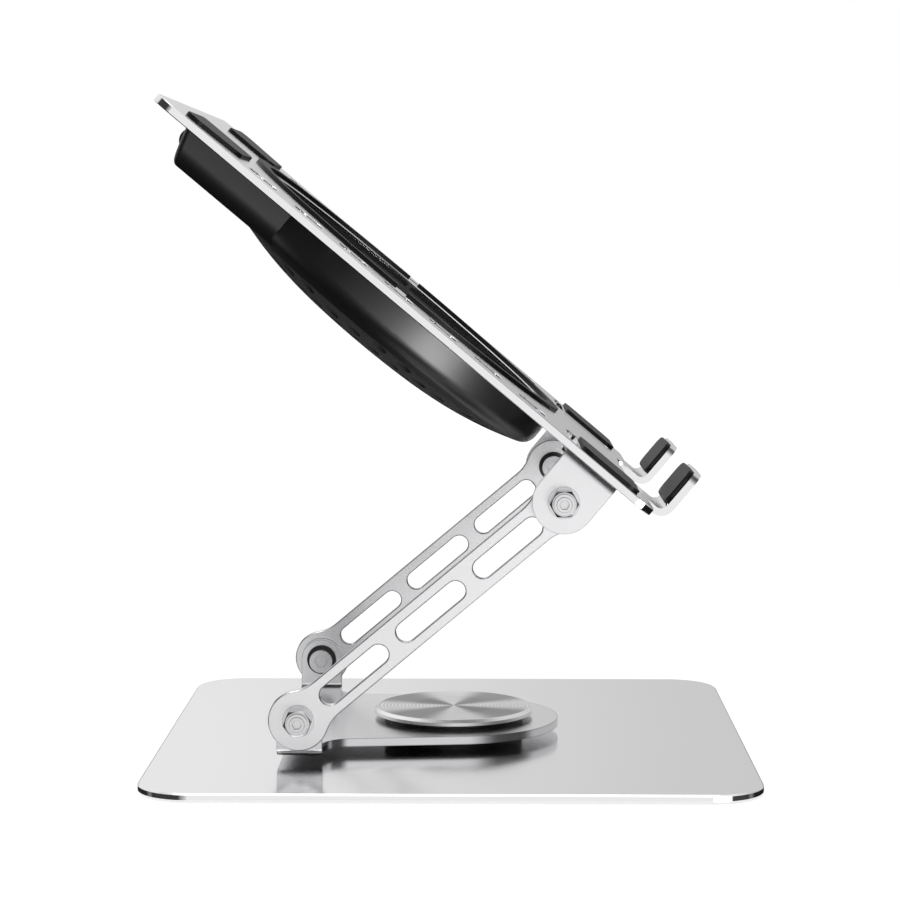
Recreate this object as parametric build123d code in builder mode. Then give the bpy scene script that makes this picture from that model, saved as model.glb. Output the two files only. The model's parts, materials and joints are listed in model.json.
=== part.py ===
from build123d import *
from math import asin, cos, radians, sin, sqrt, tan
import os

os.makedirs("parts", exist_ok=True)

# ---------------------------------------------------------------- sizes (mm)
# Frame: origin under the middle of the base, +Z up, the user sits at -Y,
# so the left side of the stand is at -X.

# base
base_size = 240.0
base_corner = 21.0
base_thick = 2.5
base_bevel = 0.6
foot_high = 1.0
foot_radius = 11.0
foot_inset = 26.0
base_top = foot_high + base_thick

# swivel
washer_thick = 2.9
plate_lift = 3.0
bracket_thick = 3.3
hub_radius = 12.0
hub_fit = 0.05
washer_radius = 29.0
cap_under = 8.2
cap_top = 10.7
cap_radius = 33.25
cap_bevel = 1.0
hub_screw_ring = 7.0
thread_radius = 2.0
thread_hole = 2.05

# swivel bracket outline, seen from above
nose_radius = 44.0
flare_angle = 6.0
flare_end = 40.0
strip_front = 51.2
strip_rear = 69.2
ear_inside = 66.0
ear_outside = ear_inside + bracket_thick
ear_radius = 9.0
bend_inner = 1.6

# pivots, as (y, z)
lower_pivot = (60.2, base_top + 18.4)
arm_length = 135.6
arm_angle = 39.9
upper_pivot = (lower_pivot[0] - arm_length * cos(radians(arm_angle)),
               lower_pivot[1] + arm_length * sin(radians(arm_angle)))
pin_radius = 3.0
pin_fit = 0.05
nut_flats = 10.0
nut_high = 5.0
collar_radius = 4.15
collar_high = 1.6
screw_head_radius = 5.15
washer_outer = 6.3
slip_outer = 7.0

# arms
arm_inside = 70.0
arm_outside = 73.5
arm_end_radius = 12.0
arm_wide = 16.0
arm_blend = 16.0
arm_slot = 8.0
arm_slot_spans = [(16.25, 41.25), (55.4, 80.6), (94.75, 119.75)]
arm_bevel = 0.35

# tray: s runs from the rear edge down the slope, h is height above its top face
tray_slope = 40.0
tray_long = 240.0
tray_wide = 240.0
tray_thick = 3.0
tray_corner = 8.0
tray_bevel = 0.3
pivot_s = 216.0
pivot_h = -22.1

# hooks
hook_centre = 60.5
hook_wide = 40.0
hook_face = 250.0
hook_high = 20.2
hook_bend = 3.0
hook_tip = 6.0
front_recess = 4.0

# cooling slots along both sides of the tray, and a bent window beside each front pad
vent_count = 7
vent_first = 42.0
vent_pitch = 22.1
vent_long = 13.0
vent_centre_x = 97.0
vent_wide = 18.0
window_from = 199.0
window_long = 4.6
window_inside = 60.0
window_outside = 112.0
window_arm_wide = 8.0
window_arm_end = 229.0

# tray bracket
tray_ear_inside = 74.0
tray_ear_outside = 77.5
tray_ear_wide = 24.7
tray_ear_radius = 12.35
web_thick = 3.5

# fan
fan_s = 115.0
opening_radius = 70.0
drum_radius = 81.0
drum_deep = 29.0
drum_flat = 21.0
drum_sweep = 162.0
drum_turn = 77.0
drum_wall = 2.2
box_half = 62.0
box_rear = 8.6
box_lean = 14.0
box_deep = 20.0
box_side_round = 8.0
box_rear_round = 2.5
ledge_inner = 63.5
ledge_outer = 74.0
ledge_deep = 17.5
housing_screw_ring = 77.2
rotor_radius = 62.0
rotor_hub = 19.0
blade_count = 9
stator_radius = 13.0
shaft_radius = 1.5

# spiral vents in the drum's floor: in each arm two holes abreast step inwards
vent_arms = 8
vent_turn = 22.5
vent_lead = 6.0
vent_rows = [(64.5, 4.3), (58.0, 4.2), (51.5, 3.8), (45.0, 3.4), (38.5, 3.0)]

# speed dial in the box's rear wall
dial_x = -44.0
dial_s = 12.6
dial_h = -9.0
dial_radius = 5.0
dial_thick = 3.2

# pads
ring_outer = 81.0
ring_inner = 75.0
ring_high = 1.6
ring_gap = 5.0
pad_high = 1.65
hook_pad_thick = 2.0


# ---------------------------------------------------------------- planes
tray_back = (cos(radians(tray_slope)), sin(radians(tray_slope)))
tray_up = (-sin(radians(tray_slope)), cos(radians(tray_slope)))
rear_edge = (upper_pivot[0] + pivot_s * tray_back[0] - pivot_h * tray_up[0],
             upper_pivot[1] + pivot_s * tray_back[1] - pivot_h * tray_up[1])


def tray_level(h, s=0.0):
    """Plane parallel to the tray at height h, origin at s; its y axis runs back up the slope."""
    y = rear_edge[0] - s * tray_back[0] + h * tray_up[0]
    z = rear_edge[1] - s * tray_back[1] + h * tray_up[1]
    return Plane(origin=(0, y, z), x_dir=(1, 0, 0), z_dir=(0, tray_up[0], tray_up[1]))


def tray_side(x):
    """Plane across the tray at x: first axis down the slope (s), second axis up (h)."""
    return Plane(origin=(x, rear_edge[0], rear_edge[1]),
                 x_dir=(0, -tray_back[0], -tray_back[1]), z_dir=(-1, 0, 0))


def side(x, point=(0.0, 0.0), angle=0.0):
    """Upright plane at x: first axis forwards and raised by angle, extrusions go to -X."""
    return Plane(origin=(x, point[0], point[1]),
                 x_dir=(0, -cos(radians(angle)), sin(radians(angle))), z_dir=(-1, 0, 0))


def both_sides(a, b, point, angle=0.0):
    """The two planes for a pair of pieces that fill |x| from a to b."""
    return [side(-a, point, angle), side(b, point, angle)]


def level(z):
    return Plane(origin=(0, 0, z))


def save(builder, label):
    builder.part.label = label
    export_step(builder.part, "parts/" + label + ".step")
    solids = len(builder.part.solids())
    box = builder.part.bounding_box()
    print(label, solids, "solid(s)", round(builder.part.volume, 1), "mm3",
          [round(v, 1) for v in (box.min.X, box.min.Y, box.min.Z, box.max.X, box.max.Y, box.max.Z)],
          "valid" if builder.part.is_valid else "NOT VALID")


def rings(label, a, b, point, outer, inner):
    """A pair of plain washers on one pivot line, one on each side."""
    with BuildPart() as pair:
        with BuildSketch(*both_sides(a, b, point)):
            Circle(outer)
            Circle(inner, mode=Mode.SUBTRACT)
        extrude(amount=b - a)
    save(pair, label)


# ---------------------------------------------------------------- base
with BuildPart() as base_plate:
    with BuildSketch(level(foot_high)):
        RectangleRounded(base_size, base_size, base_corner)
    extrude(amount=base_thick)
    top_edges = base_plate.faces().sort_by(Axis.Z)[-1].edges()
    chamfer(top_edges, length=base_bevel)
    # countersunk holes for the three hub screws
    with BuildSketch(level(foot_high)):
        with PolarLocations(hub_screw_ring, 3):
            Circle(thread_hole)
    extrude(amount=base_thick, mode=Mode.SUBTRACT)
    with Locations(level(foot_high)):
        with PolarLocations(hub_screw_ring, 3):
            Cone(bottom_radius=2 * thread_hole, top_radius=thread_hole, height=thread_hole,
                 align=(Align.CENTER, Align.CENTER, Align.MIN), mode=Mode.SUBTRACT)
save(base_plate, "base_plate")

foot_at = base_size / 2 - foot_inset
with BuildPart() as base_feet:
    with BuildSketch(level(0)):
        with GridLocations(2 * foot_at, 2 * foot_at, 2, 2):
            Circle(foot_radius)
    extrude(amount=foot_high)
save(base_feet, "base_feet")

# bush that carries the turning bracket
with BuildPart() as swivel_hub:
    with BuildSketch(level(base_top)):
        Circle(hub_radius)
        with PolarLocations(hub_screw_ring, 3):
            Circle(thread_hole, mode=Mode.SUBTRACT)
    extrude(amount=cap_under)
save(swivel_hub, "swivel_hub")

# turned disc: bright bevel round the rim, three blind threads beneath
with BuildPart() as swivel_cap:
    with BuildSketch(level(base_top + cap_under)):
        Circle(cap_radius)
    extrude(amount=cap_top - cap_under)
    rim = swivel_cap.faces().sort_by(Axis.Z)[-1].edges()
    chamfer(rim, length=cap_bevel)
    with BuildSketch(level(base_top + cap_under)):
        with PolarLocations(hub_screw_ring, 3):
            Circle(thread_hole)
    extrude(amount=1.5, mode=Mode.SUBTRACT)
save(swivel_cap, "swivel_cap")

with BuildPart() as hub_screws:
    with BuildSketch(level(foot_high)):
        with PolarLocations(hub_screw_ring, 3):
            Circle(thread_radius)
    extrude(amount=base_thick + cap_under + 1.4)
    with Locations(level(foot_high)):
        with PolarLocations(hub_screw_ring, 3):
            Cone(bottom_radius=2 * thread_radius, top_radius=thread_radius, height=thread_radius,
                 align=(Align.CENTER, Align.CENTER, Align.MIN))
    # hexagon sockets
    with BuildSketch(level(foot_high)):
        with PolarLocations(hub_screw_ring, 3):
            RegularPolygon(1.25, 6, major_radius=False)
    extrude(amount=1.4, mode=Mode.SUBTRACT)
save(hub_screws, "hub_screws")

with BuildPart() as thrust_washer_lower:
    with BuildSketch(level(base_top)):
        Circle(washer_radius)
        Circle(hub_radius + 0.1, mode=Mode.SUBTRACT)
    extrude(amount=washer_thick)
save(thrust_washer_lower, "thrust_washer_lower")

upper_washer_from = base_top + plate_lift + bracket_thick + 0.1
with BuildPart() as thrust_washer_upper:
    with BuildSketch(level(upper_washer_from)):
        Circle(washer_radius)
        Circle(hub_radius + 0.1, mode=Mode.SUBTRACT)
    extrude(amount=base_top + cap_under - upper_washer_from)
save(thrust_washer_upper, "thrust_washer_upper")

# ---------------------------------------------------------------- swivel bracket
plate_bottom = base_top + plate_lift
plate_top = plate_bottom + bracket_thick
bend_outer = bend_inner + bracket_thick
flat_end = ear_outside - bend_outer

# the sides leave the round nose on tangents that open by the flare angle
tangent_x = nose_radius * cos(radians(flare_angle))
tangent_y = -nose_radius * sin(radians(flare_angle))
flare_x = tangent_x + (flare_end - tangent_y) * tan(radians(flare_angle))

with BuildPart() as swivel_bracket:
    with BuildSketch(level(plate_bottom)):
        with BuildLine():
            neck_left = (-flare_x, flare_end)
            neck_right = (flare_x, flare_end)
            ThreePointArc((-tangent_x, tangent_y), (0, -nose_radius), (tangent_x, tangent_y))
            Line((tangent_x, tangent_y), neck_right)
            # concave corner that opens into the strip under the ears
            ThreePointArc(neck_right, (flare_x + 3.9, strip_front - 2.6), (flat_end, strip_front))
            Line((flat_end, strip_front), (flat_end, strip_rear))
            Line((flat_end, strip_rear), (-flat_end, strip_rear))
            Line((-flat_end, strip_rear), (-flat_end, strip_front))
            ThreePointArc((-flat_end, strip_front), (-flare_x - 3.9, strip_front - 2.6), neck_left)
            Line(neck_left, (-tangent_x, tangent_y))
        make_face()
        Circle(hub_radius + hub_fit, mode=Mode.SUBTRACT)
    extrude(amount=bracket_thick)
    # bends: a quarter ring between the flat plate and each ear
    for x_sign in (-1, 1):
        centre_x = x_sign * flat_end
        with BuildSketch(Plane(origin=(centre_x, strip_rear, plate_bottom + bend_outer),
                               x_dir=(x_sign, 0, 0), z_dir=(0, x_sign, 0))):
            Circle(bend_outer)
            Circle(bend_inner, mode=Mode.SUBTRACT)
            with Locations((bend_outer / 2, bend_outer / 2)):
                Rectangle(bend_outer, bend_outer, mode=Mode.INTERSECT)
        extrude(amount=-x_sign * (strip_rear - strip_front))
    # upright ears with round tops
    with BuildSketch(*both_sides(ear_inside, ear_outside, lower_pivot)):
        Circle(ear_radius)
        low = plate_bottom + bend_outer - lower_pivot[1]
        with Locations((0, low / 2)):
            Rectangle(strip_rear - strip_front, -low)
        Circle(pin_radius + pin_fit, mode=Mode.SUBTRACT)
    extrude(amount=bracket_thick)
save(swivel_bracket, "swivel_bracket")


# ---------------------------------------------------------------- pivot hardware
def pivot_screws(label, head_from, head_to, tip, point):
    """Socket-head screws, one on each side, head towards the middle."""
    with BuildPart() as screws:
        with BuildSketch(*both_sides(head_from, head_to, point)):
            Circle(screw_head_radius)
        extrude(amount=head_to - head_from)
        with BuildSketch(*both_sides(head_to, tip, point)):
            Circle(pin_radius)
        extrude(amount=tip - head_to)
        # hexagon socket in the head and a small one in the tip
        with BuildSketch(*both_sides(head_from, head_from + 3.0, point)):
            RegularPolygon(2.5, 6, major_radius=False)
        extrude(amount=3.0, mode=Mode.SUBTRACT)
        with BuildSketch(*both_sides(tip - 1.2, tip, point)):
            RegularPolygon(1.65, 6, major_radius=False)
        extrude(amount=1.2, mode=Mode.SUBTRACT)
    save(screws, label)


def lock_nuts(label, a, point, turn):
    """Hexagon lock nuts with a round collar outside, one on each side."""
    with BuildPart() as nuts:
        with BuildSketch(*both_sides(a, a + nut_high, point)):
            RegularPolygon(nut_flats / 2, 6, major_radius=False, rotation=turn)
        extrude(amount=nut_high)
        # corners turned off at 30 degrees where the collar begins
        across_corners = nut_flats / sqrt(3)
        for x_sign in (-1, 1):
            outer = x_sign * (a + nut_high)
            with BuildSketch(Plane(origin=(0, point[0], point[1]), x_dir=(0, 1, 0), z_dir=(0, 0, 1))):
                with BuildLine():
                    Polyline((nut_flats / 2 - 0.3, -outer), (across_corners + 0.5, -outer),
                             (across_corners + 0.5, -outer + x_sign * 0.8), (nut_flats / 2 - 0.3, -outer))
                make_face()
            revolve(axis=Axis(origin=(0, point[0], point[1]), direction=(1, 0, 0)), mode=Mode.SUBTRACT)
        with BuildSketch(*both_sides(a + nut_high, a + nut_high + collar_high, point)):
            Circle(collar_radius)
        extrude(amount=collar_high)
        with BuildSketch(*both_sides(a, a + nut_high + collar_high, point)):
            Circle(pin_radius + 0.02)
        extrude(amount=nut_high + collar_high, mode=Mode.SUBTRACT)
    save(nuts, label)


washer_bore = pin_radius + 0.05
pivot_screws("lower_pivot_screws", 60.2, 65.2, 81.8, lower_pivot)
rings("lower_head_rings", 65.2, ear_inside, lower_pivot, washer_outer + 0.2, washer_bore)
rings("lower_slip_washers", ear_outside, ear_outside + 0.6, lower_pivot, slip_outer, washer_bore)
rings("lower_nut_washers", arm_outside + 0.1, arm_outside + 1.1, lower_pivot, washer_outer, washer_bore)
lock_nuts("lower_pivot_nuts", arm_outside + 1.1, lower_pivot, 8)

pivot_screws("upper_pivot_screws", 64.1, 69.1, 85.8, upper_pivot)
rings("upper_head_rings", 69.1, arm_inside - 0.1, upper_pivot, washer_outer + 0.2, washer_bore)
rings("upper_slip_washers", arm_outside + 0.1, tray_ear_inside, upper_pivot, slip_outer, washer_bore)
rings("upper_nut_washers", tray_ear_outside, tray_ear_outside + 1.0, upper_pivot, washer_outer, washer_bore)
lock_nuts("upper_pivot_nuts", tray_ear_outside + 1.0, upper_pivot, 0)


# ---------------------------------------------------------------- arms
def arm(label, x):
    """Flat bar with round ends and three long slots; x is its inner face's plane."""
    with BuildPart() as bar:
        with BuildSketch(side(x, lower_pivot, arm_angle)) as outline:
            Circle(arm_end_radius)
            with Locations((arm_length, 0)):
                Circle(arm_end_radius)
            with Locations((arm_length / 2, 0)):
                Rectangle(arm_length, arm_wide)
            meet = sqrt(arm_end_radius ** 2 - (arm_wide / 2) ** 2)
            necks = []
            for corner in outline.vertices():
                local = side(x, lower_pivot, arm_angle).to_local_coords(corner)
                near = min(abs(local.X - meet), abs(local.X - (arm_length - meet)))
                if near < 0.05 and abs(abs(local.Y) - arm_wide / 2) < 0.05:
                    necks.append(corner)
            fillet(necks, arm_blend)
            for a, b in arm_slot_spans:
                with Locations(((a + b) / 2, 0)):
                    SlotCenterToCenter(b - a, arm_slot, mode=Mode.SUBTRACT)
            for end in (0, arm_length):
                with Locations((end, 0)):
                    Circle(pin_radius + pin_fit, mode=Mode.SUBTRACT)
        extrude(amount=arm_outside - arm_inside)
        faces = bar.faces().sort_by(Axis.X)
        chamfer(faces[0].edges() + faces[-1].edges(), length=arm_bevel)
    save(bar, label)


arm("arm_left", -arm_inside)
arm("arm_right", arm_outside)

# ---------------------------------------------------------------- tray
lip_inner = hook_face - tray_thick
bend_out = hook_bend + tray_thick
bend_s = lip_inner - hook_bend

with BuildPart() as tray_plate:
    with BuildSketch(tray_level(-tray_thick)) as tray_outline:
        with Locations((0, -tray_long / 2)):
            RectangleRounded(tray_wide, tray_long, tray_corner)
        # shallow recesses between and outside the hooks
        recess_half = hook_centre - hook_wide / 2
        with Locations((0, -tray_long + front_recess / 2)):
            RectangleRounded(2 * recess_half, front_recess + 8, 3.9, mode=Mode.SUBTRACT)
        # flat roots of the hooks
        for x_sign in (-1, 1):
            root_long = bend_s - (tray_long - 12)
            with Locations((x_sign * hook_centre, -(tray_long - 12) - root_long / 2)):
                Rectangle(hook_wide, root_long)
        with Locations((0, -fan_s)):
            Circle(opening_radius, mode=Mode.SUBTRACT)
        # cooling slots along both sides
        for x_sign in (-1, 1):
            for i in range(vent_count):
                with Locations((x_sign * vent_centre_x, -vent_first - i * vent_pitch - vent_long / 2)):
                    RectangleRounded(vent_wide, vent_long, 3.0, mode=Mode.SUBTRACT)
        # window that bends round the rear and the inner side of each front pad
        for x_sign in (-1, 1):
            rear_part_at = x_sign * (window_inside + window_outside) / 2
            with Locations((rear_part_at, -window_from - window_long / 2)):
                RectangleRounded(window_outside - window_inside, window_long, 2.0, mode=Mode.SUBTRACT)
            arm_at = x_sign * (window_inside + window_arm_wide / 2)
            with Locations((arm_at, -(window_from + window_arm_end) / 2)):
                RectangleRounded(window_arm_wide, window_arm_end - window_from, 2.0, mode=Mode.SUBTRACT)
    extrude(amount=tray_thick)
    # fine bevel round every edge that isn't part of a hook
    sharp = []
    for edge in tray_plate.edges():
        middle = tray_side(0).to_local_coords(edge.center())
        flat_edge = abs(middle.Y) < 0.01 or abs(middle.Y + tray_thick) < 0.01
        if flat_edge and (middle.X < tray_long - 14 or abs(middle.Z) > hook_centre + hook_wide / 2 + 1):
            sharp.append(edge)
    chamfer(sharp, length=tray_bevel)
    # bent part and lip of each hook
    for x_sign in (-1, 1):
        with BuildSketch(tray_side(x_sign * hook_centre + hook_wide / 2)):
            with Locations((bend_s, hook_bend)):
                Circle(bend_out)
                Circle(hook_bend, mode=Mode.SUBTRACT)
            with Locations((bend_s + bend_out / 2, hook_bend - bend_out / 2)):
                Rectangle(bend_out, bend_out, mode=Mode.INTERSECT)
            with Locations((hook_face - tray_thick / 2, (hook_bend + hook_high) / 2)):
                Rectangle(tray_thick, hook_high - hook_bend)
        extrude(amount=hook_wide)
    # rounded tips of the lips
    tips = []
    for edge in tray_plate.edges().filter_by(GeomType.LINE):
        middle = tray_side(0).to_local_coords(edge.center())
        if abs(edge.length - tray_thick) < 0.01 and middle.Y > hook_high - 0.1:
            tips.append(edge)
    fillet(tips, hook_tip)
    # threads for the bracket screws and countersinks for the housing screws
    with BuildSketch(tray_level(-tray_thick)):
        for x in (-34.0, 34.0):
            for s in (pivot_s - 7, pivot_s + 7):
                with Locations((x, -s)):
                    Circle(thread_hole)
    extrude(amount=2.3, mode=Mode.SUBTRACT)
    with BuildSketch(tray_level(-tray_thick, fan_s)):
        with PolarLocations(housing_screw_ring, 6, start_angle=30):
            Circle(1.6)
    extrude(amount=tray_thick, mode=Mode.SUBTRACT)
    with Locations(tray_level(-1.5, fan_s)):
        with PolarLocations(housing_screw_ring, 6, start_angle=30):
            Cone(bottom_radius=1.5, top_radius=3.0, height=1.5,
                 align=(Align.CENTER, Align.CENTER, Align.MIN), mode=Mode.SUBTRACT)
save(tray_plate, "tray_plate")

# U bracket under the tray
web_bend_out = 5.1
web_bend_in = web_bend_out - web_thick
web_flat = tray_ear_outside - web_bend_out
with BuildPart() as tray_bracket:
    with BuildSketch(tray_level(-tray_thick - web_thick, pivot_s)):
        Rectangle(2 * web_flat, tray_ear_wide)
        for x in (-34.0, 34.0):
            for s in (-7, 7):
                with Locations((x, s)):
                    Circle(thread_hole, mode=Mode.SUBTRACT)
    extrude(amount=web_thick)
    for x_sign in (-1, 1):
        corner = tray_level(-tray_thick - web_bend_out, pivot_s - tray_ear_wide / 2)
        bend_plane = Plane(origin=corner.from_local_coords((x_sign * web_flat, 0, 0)),
                           x_dir=(x_sign, 0, 0), z_dir=corner.y_dir * (-x_sign))
        with BuildSketch(bend_plane):
            Circle(web_bend_out)
            Circle(web_bend_in, mode=Mode.SUBTRACT)
            with Locations((web_bend_out / 2, web_bend_out / 2)):
                Rectangle(web_bend_out, web_bend_out, mode=Mode.INTERSECT)
        extrude(amount=x_sign * tray_ear_wide)
    # ears, square to the tray, round at the pivot
    drop = -tray_thick - web_bend_out - pivot_h
    with BuildSketch(*both_sides(tray_ear_inside, tray_ear_outside, upper_pivot, -tray_slope)):
        Circle(tray_ear_radius)
        with Locations((0, drop / 2)):
            Rectangle(tray_ear_wide, drop)
        Circle(pin_radius + pin_fit, mode=Mode.SUBTRACT)
    extrude(amount=tray_ear_outside - tray_ear_inside)
save(tray_bracket, "tray_bracket")

with BuildPart() as bracket_screws:
    under = -tray_thick - web_thick
    with BuildSketch(tray_level(under, pivot_s)):
        with GridLocations(68, 14, 2, 2):
            Circle(thread_radius)
    extrude(amount=web_thick + 2.2)
    with BuildSketch(tray_level(under - 2.4, pivot_s)):
        with GridLocations(68, 14, 2, 2):
            Circle(3.8)
    extrude(amount=2.4)
    with BuildSketch(tray_level(under - 2.4, pivot_s)):
        with GridLocations(68, 14, 2, 2):
            RegularPolygon(1.25, 6, major_radius=False)
    extrude(amount=1.3, mode=Mode.SUBTRACT)
save(bracket_screws, "bracket_screws")

# ---------------------------------------------------------------- rubber pads
# corners of the left pads as (distance from the middle, s), the right ones mirror them
rear_pad_corners = [(108.0, 11.0), (48.0, 11.0), (48.0, 36.2), (93.0, 36.2)]
front_pad_corners = [(117.5, 204.4), (70.0, 204.4), (70.0, 231.5), (117.5, 231.5)]
pad_corner = 5.0


def pad(label, x_sign, corners, high, corner):
    with BuildPart() as rubber:
        with BuildSketch(tray_level(0)) as shape:
            Polygon(*[(x_sign * x, -s) for x, s in corners], align=None)
            fillet(shape.vertices(), corner)
        extrude(amount=high)
    save(rubber, label)


for name, x_sign in (("left", -1), ("right", 1)):
    pad("rear_pad_" + name, x_sign, rear_pad_corners, pad_high, pad_corner)
    pad("front_pad_" + name, x_sign, front_pad_corners, pad_high, pad_corner)
    with BuildPart() as hook_pad:
        hook_pad_plane = Plane(origin=tray_side(x_sign * hook_centre).from_local_coords((lip_inner, 0, 0)),
                               x_dir=(1, 0, 0), z_dir=(0, tray_back[0], tray_back[1]))
        with BuildSketch(hook_pad_plane):
            pad_from = hook_bend + 0.2
            pad_to = hook_high - 1.0
            flip = 1 if hook_pad_plane.y_dir.dot(tray_level(0).z_dir) > 0 else -1
            with Locations((0, flip * (pad_from + pad_to) / 2)):
                RectangleRounded(hook_wide - 1, pad_to - pad_from, 4.5)
        extrude(amount=hook_pad_thick)
        soft_rim = hook_pad.faces().sort_by(Axis(origin=(0, 0, 0), direction=(0, tray_back[0], tray_back[1])))
        chamfer(soft_rim[-1].edges(), length=0.5)
    save(hook_pad, "hook_pad_" + name)

for name, y_sign in (("rear", 1), ("front", -1)):
    with BuildPart() as arc_pad:
        with BuildSketch(tray_level(0, fan_s)):
            Circle(ring_outer)
            Circle(ring_inner, mode=Mode.SUBTRACT)
            with Locations((0, y_sign * (ring_gap / 2 + 50))):
                Rectangle(200, 100, mode=Mode.INTERSECT)
        extrude(amount=ring_high)
    save(arc_pad, "ring_pad_" + name)

# ---------------------------------------------------------------- fan
# drum and box moulded as one shell; the box's rear wall leans under the tray
fan_axis = Axis(origin=tray_level(0, fan_s).origin, direction=tray_level(0).z_dir)
box_front = fan_s - 45.0
box_foot = box_rear + box_deep * tan(radians(box_lean))


def floor_curve(radius, deep, sweep):
    """Height and slope of the drum's floor: flat in the middle, then rising on a wide arc."""
    slope = asin((radius - drum_flat) / sweep)
    return -deep + sweep * (1 - cos(slope)), slope


def at_axis(radius, h):
    """A point of the fan's half profile, in the plane across the tray."""
    return (fan_s + radius, h)


with BuildPart() as fan_housing:
    # box behind the drum, with wide rounds along its lower sides
    with BuildSketch(tray_side(box_half)):
        with BuildLine():
            Polyline((box_rear, -tray_thick), (box_front, -tray_thick), (box_front, -box_deep),
                     (box_foot, -box_deep), (box_rear, -tray_thick))
        make_face()
    extrude(amount=2 * box_half)
    along = []
    for edge in fan_housing.edges():
        middle = tray_side(0).to_local_coords(edge.center())
        if abs(middle.Y + box_deep) < 0.01 and abs(abs(middle.Z) - box_half) < 0.01:
            along.append(edge)
    fillet(along, box_side_round)
    rear_wall = fan_housing.faces().sort_by(Axis(origin=(0, 0, 0), direction=(0, *tray_back)))[-1]
    rear_rim = []
    for edge in rear_wall.edges():
        if tray_side(0).to_local_coords(edge.center()).Y < -tray_thick - 0.5:
            rear_rim.append(edge)
    fillet(rear_rim, box_rear_round)
    # drum, turned about the fan axis: floor, round corner and upright wall on tangents
    turn_h, turn_slope = floor_curve(drum_turn, drum_deep, drum_sweep)
    corner_reach = (drum_radius - drum_turn) / cos(turn_slope)
    wall_from = turn_h + (drum_radius - drum_turn) * tan(turn_slope) + corner_reach
    with BuildSketch(tray_side(0)):
        with BuildLine():
            Line(at_axis(0, -tray_thick), at_axis(0, -drum_deep))
            Line(at_axis(0, -drum_deep), at_axis(drum_flat, -drum_deep))
            TangentArc(at_axis(drum_flat, -drum_deep), at_axis(drum_turn, turn_h), tangent=(1, 0))
            TangentArc(at_axis(drum_turn, turn_h), at_axis(drum_radius, wall_from),
                       tangent=(cos(turn_slope), sin(turn_slope)))
            Line(at_axis(drum_radius, wall_from), at_axis(drum_radius, -tray_thick))
            Line(at_axis(drum_radius, -tray_thick), at_axis(0, -tray_thick))
        make_face()
    revolve(axis=fan_axis)
    # hollow of the drum, with a ledge for the light ring
    inner_deep = drum_deep - drum_wall
    inner_sweep = drum_sweep - drum_wall
    ledge_h, ledge_slope = floor_curve(ledge_inner, inner_deep, inner_sweep)
    with BuildSketch(tray_side(0)):
        with BuildLine():
            Line(at_axis(0, -tray_thick), at_axis(0, -inner_deep))
            Line(at_axis(0, -inner_deep), at_axis(drum_flat, -inner_deep))
            TangentArc(at_axis(drum_flat, -inner_deep), at_axis(ledge_inner, ledge_h), tangent=(1, 0))
            Polyline(at_axis(ledge_inner, ledge_h), at_axis(ledge_inner, -ledge_deep),
                     at_axis(ledge_outer, -ledge_deep), at_axis(drum_radius - drum_wall, wall_from),
                     at_axis(drum_radius - drum_wall, -tray_thick), at_axis(0, -tray_thick))
        make_face()
    revolve(axis=fan_axis, mode=Mode.SUBTRACT)
    # hollow of the box, closed off from the drum by the drum's wall
    with BuildSketch(tray_level(-tray_thick, 0)) as box_hollow:
        with Locations((0, -(box_rear + 4.6 + box_front) / 2)):
            RectangleRounded(2 * box_half - 8, box_front - box_rear - 4.6, 3.0)
        with Locations((0, -fan_s)):
            Circle(drum_radius, mode=Mode.SUBTRACT)
    extrude(amount=-14.5, mode=Mode.SUBTRACT)
    # bosses for the housing screws, inside the drum wall
    with BuildSketch(tray_level(-13.0, fan_s)):
        with PolarLocations(housing_screw_ring, 6, start_angle=30):
            Circle(3.4)
        Circle(drum_radius - 1.0, mode=Mode.INTERSECT)
    extrude(amount=10.0)
    with BuildSketch(tray_level(-12.0, fan_s)):
        with PolarLocations(housing_screw_ring, 6, start_angle=30):
            Circle(1.45)
    extrude(amount=9.0, mode=Mode.SUBTRACT)
    # spiral vents through the floor
    with BuildSketch(tray_level(-drum_deep - 3.0, fan_s)):
        for row, (row_radius, hole_radius) in enumerate(vent_rows):
            for abreast in (0.0, 0.5):
                first = 180.0 + vent_lead + (row + abreast) * vent_turn
                with PolarLocations(row_radius, vent_arms, start_angle=first):
                    Circle(hole_radius)
    extrude(amount=15.6, mode=Mode.SUBTRACT)
    # slot for the speed dial, a pocket for its control, and a port for the socket
    with BuildSketch(tray_level(-16.0, 0)):
        with Locations((dial_x, -dial_s)):
            Rectangle(4.6, 2 * dial_radius + 3.0)
    extrude(amount=13.0, mode=Mode.SUBTRACT)
    with BuildSketch(tray_level(-11.8, 0)):
        with Locations((-36.8, -14.0)):
            Rectangle(10.6, 4.0)
    extrude(amount=8.8, mode=Mode.SUBTRACT)
    with BuildSketch(tray_level(-10.3, 0)):
        with Locations((-41.0, -dial_s)):
            Rectangle(3.0, 2.5)
    extrude(amount=7.3, mode=Mode.SUBTRACT)
    with BuildSketch(tray_level(-16.1, 0)):
        with Locations((0.0, -(box_rear + 4.0))):
            Rectangle(9.4, 12.0)
    extrude(amount=3.6, mode=Mode.SUBTRACT)
save(fan_housing, "fan_housing")

with BuildPart() as housing_screws:
    with BuildSketch(tray_level(-11.0, fan_s)):
        with PolarLocations(housing_screw_ring, 6, start_angle=30):
            Circle(1.4)
    extrude(amount=11.0 - 0.1)
    with Locations(tray_level(-1.5, fan_s)):
        with PolarLocations(housing_screw_ring, 6, start_angle=30):
            Cone(bottom_radius=1.4, top_radius=2.8, height=1.4,
                 align=(Align.CENTER, Align.CENTER, Align.MIN))
save(housing_screws, "housing_screws")

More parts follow.
